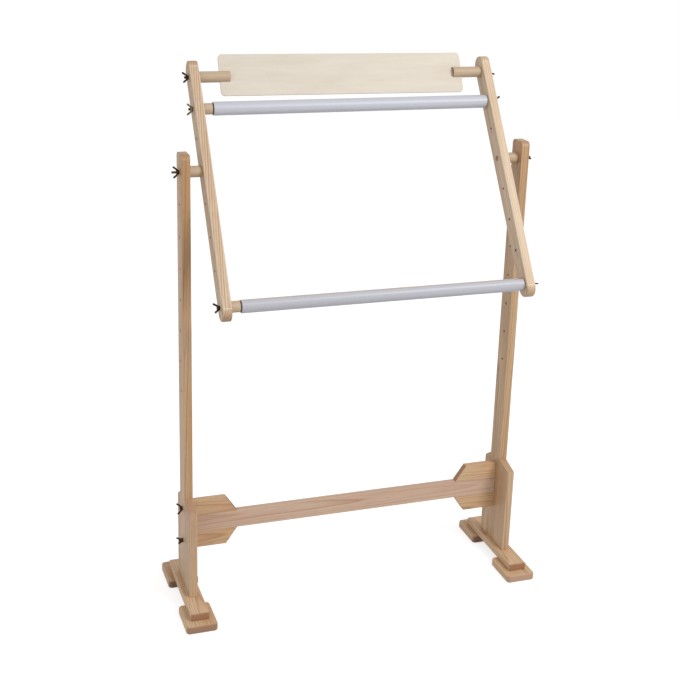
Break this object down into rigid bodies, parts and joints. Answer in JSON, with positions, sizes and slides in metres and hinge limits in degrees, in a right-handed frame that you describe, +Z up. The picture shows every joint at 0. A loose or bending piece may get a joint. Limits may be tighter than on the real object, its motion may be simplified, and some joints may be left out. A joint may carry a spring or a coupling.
{
  "type": "floor-standing embroidery stand",
  "caption": "Wooden floor stand with sledge feet and two posts that carries a tilting scroll frame with rollers, push-on fabric clips and a chart board for hand embroidery.",
  "frame": {"origin": "on the floor, midway between the two feet and midway from front to back of the whole outline at rest, 20 mm in front of the middle of the posts", "axes": "+X to the right along the crossbar, +Y to the back (the frame's top leans that way), +Z up"},
  "size_m": [0.801, 0.3236, 1.1562],
  "materials": {
    "pine_post": "planed pine, warm orange, satin oil",
    "pine_foot": "planed pine, bare",
    "pine_frame": "planed pine, pale, bare",
    "dowel": "turned dowel, bare",
    "birch_plywood": "sanded birch plywood",
    "white_plastic": "smooth extruded plastic, cool white",
    "bronzed_steel": "dark bronzed plating",
    "brassy_steel": "dull brassy plating",
    "zinc_steel": "zinc plated"
  },
  "bodies": {
    "stand": {"left_foot_board": "pine_foot", "left_front_pad": "pine_foot", "left_rear_pad": "pine_foot", "left_front_post_screw": "zinc_steel", "left_rear_post_screw": "zinc_steel", "left_upright": "pine_post", "left_front_cheek": "pine_post", "left_rear_cheek": "pine_post", "right_foot_board": "pine_foot", "right_front_pad": "pine_foot", "right_rear_pad": "pine_foot", "right_front_post_screw": "zinc_steel", "right_rear_post_screw": "zinc_steel", "right_upright": "pine_post", "right_front_cheek": "pine_post", "right_rear_cheek": "pine_post", "crossbar": "pine_foot", "left_upper_gusset": "pine_foot", "left_lower_gusset": "pine_foot", "right_upper_gusset": "pine_foot", "right_lower_gusset": "pine_foot", "left_upper_crossbar_stud": "bronzed_steel", "left_lower_crossbar_stud": "bronzed_steel", "right_upper_crossbar_stud": "bronzed_steel", "right_lower_crossbar_stud": "bronzed_steel"},
    "frame": {"left_side_bar": "pine_frame", "right_side_bar": "pine_frame", "left_spacer": "dowel", "right_spacer": "dowel", "left_pivot_bolt": "bronzed_steel", "right_pivot_bolt": "bronzed_steel"},
    "upper_roller_body": {"upper_roller": "dowel", "upper_roller_left_stud": "bronzed_steel", "upper_roller_right_stud": "bronzed_steel"},
    "lower_roller_body": {"lower_roller": "dowel", "lower_roller_left_stud": "bronzed_steel", "lower_roller_right_stud": "bronzed_steel"},
    "upper_clip_body": {"upper_clip": "white_plastic"},
    "lower_clip_body": {"lower_clip": "white_plastic"},
    "chart_holder": {"left_slotted_stub": "dowel", "right_slotted_stub": "dowel", "left_chart_stud": "bronzed_steel", "right_chart_stud": "bronzed_steel", "chart_board": "birch_plywood"},
    "left_upper_crossbar_nut": {"left_upper_crossbar_wing_nut": "bronzed_steel"},
    "left_lower_crossbar_nut": {"left_lower_crossbar_wing_nut": "bronzed_steel"},
    "right_upper_crossbar_nut": {"right_upper_crossbar_wing_nut": "bronzed_steel"},
    "right_lower_crossbar_nut": {"right_lower_crossbar_wing_nut": "bronzed_steel"},
    "left_pivot_nut": {"left_pivot_wing_nut": "bronzed_steel"},
    "right_pivot_nut": {"right_pivot_wing_nut": "bronzed_steel"},
    "upper_left_roller_nut": {"upper_roller_left_wing_nut": "brassy_steel"},
    "upper_right_roller_nut": {"upper_roller_right_wing_nut": "bronzed_steel"},
    "lower_left_roller_nut": {"lower_roller_left_wing_nut": "bronzed_steel"},
    "lower_right_roller_nut": {"lower_roller_right_wing_nut": "bronzed_steel"},
    "left_chart_nut": {"left_chart_wing_nut": "bronzed_steel"},
    "right_chart_nut": {"right_chart_wing_nut": "bronzed_steel"}
  },
  "joints": [
    {"name": "frame_tilt", "type": "hinge", "parent": "stand", "child": "frame", "pos_m": [0, 0.02, 0.945], "axis": [1, 0, 0], "continuous": true},
    {"name": "upper_roller_turn", "type": "hinge", "parent": "frame", "child": "upper_roller_body", "pos_m": [0, 0.09437, 1.05526], "axis": [1, 0, 0], "continuous": true},
    {"name": "lower_roller_turn", "type": "hinge", "parent": "frame", "child": "lower_roller_body", "pos_m": [0, -0.13713, 0.71204], "axis": [1, 0, 0], "continuous": true},
    {"name": "chart_tilt", "type": "hinge", "parent": "frame", "child": "chart_holder", "pos_m": [0, 0.13352, 1.11329], "axis": [1, 0, 0], "continuous": true},
    {"name": "upper_clip_slide", "type": "slide", "parent": "upper_roller_body", "child": "upper_clip_body", "axis": [1, 0, 0], "range_m": [-0.021, 0.0008]},
    {"name": "lower_clip_slide", "type": "slide", "parent": "lower_roller_body", "child": "lower_clip_body", "axis": [1, 0, 0], "range_m": [-0.021, 0.0008]},
    {"name": "left_upper_crossbar_nut_turn", "type": "hinge", "parent": "stand", "child": "left_upper_crossbar_nut", "pos_m": [-0.382, 0.02, 0.2115], "axis": [1, 0, 0], "continuous": true},
    {"name": "left_lower_crossbar_nut_turn", "type": "hinge", "parent": "stand", "child": "left_lower_crossbar_nut", "pos_m": [-0.382, 0.02, 0.1355], "axis": [1, 0, 0], "continuous": true},
    {"name": "right_upper_crossbar_nut_turn", "type": "hinge", "parent": "stand", "child": "right_upper_crossbar_nut", "pos_m": [0.382, 0.02, 0.2115], "axis": [1, 0, 0], "continuous": true},
    {"name": "right_lower_crossbar_nut_turn", "type": "hinge", "parent": "stand", "child": "right_lower_crossbar_nut", "pos_m": [0.382, 0.02, 0.1355], "axis": [1, 0, 0], "continuous": true},
    {"name": "left_pivot_nut_turn", "type": "hinge", "parent": "frame", "child": "left_pivot_nut", "pos_m": [-0.382, 0.02, 0.945], "axis": [1, 0, 0], "continuous": true},
    {"name": "right_pivot_nut_turn", "type": "hinge", "parent": "frame", "child": "right_pivot_nut", "pos_m": [0.382, 0.02, 0.945], "axis": [1, 0, 0], "continuous": true},
    {"name": "upper_left_roller_nut_turn", "type": "hinge", "parent": "upper_roller_body", "child": "upper_left_roller_nut", "pos_m": [-0.3375, 0.09437, 1.05526], "axis": [1, 0, 0], "continuous": true},
    {"name": "upper_right_roller_nut_turn", "type": "hinge", "parent": "upper_roller_body", "child": "upper_right_roller_nut", "pos_m": [0.3375, 0.09437, 1.05526], "axis": [1, 0, 0], "continuous": true},
    {"name": "lower_left_roller_nut_turn", "type": "hinge", "parent": "lower_roller_body", "child": "lower_left_roller_nut", "pos_m": [-0.3375, -0.13713, 0.71204], "axis": [1, 0, 0], "continuous": true},
    {"name": "lower_right_roller_nut_turn", "type": "hinge", "parent": "lower_roller_body", "child": "lower_right_roller_nut", "pos_m": [0.3375, -0.13713, 0.71204], "axis": [1, 0, 0], "continuous": true},
    {"name": "left_chart_nut_turn", "type": "hinge", "parent": "chart_holder", "child": "left_chart_nut", "pos_m": [-0.3375, 0.13352, 1.11329], "axis": [1, 0, 0], "continuous": true},
    {"name": "right_chart_nut_turn", "type": "hinge", "parent": "chart_holder", "child": "right_chart_nut", "pos_m": [0.3375, 0.13352, 1.11329], "axis": [1, 0, 0], "continuous": true}
  ]
}
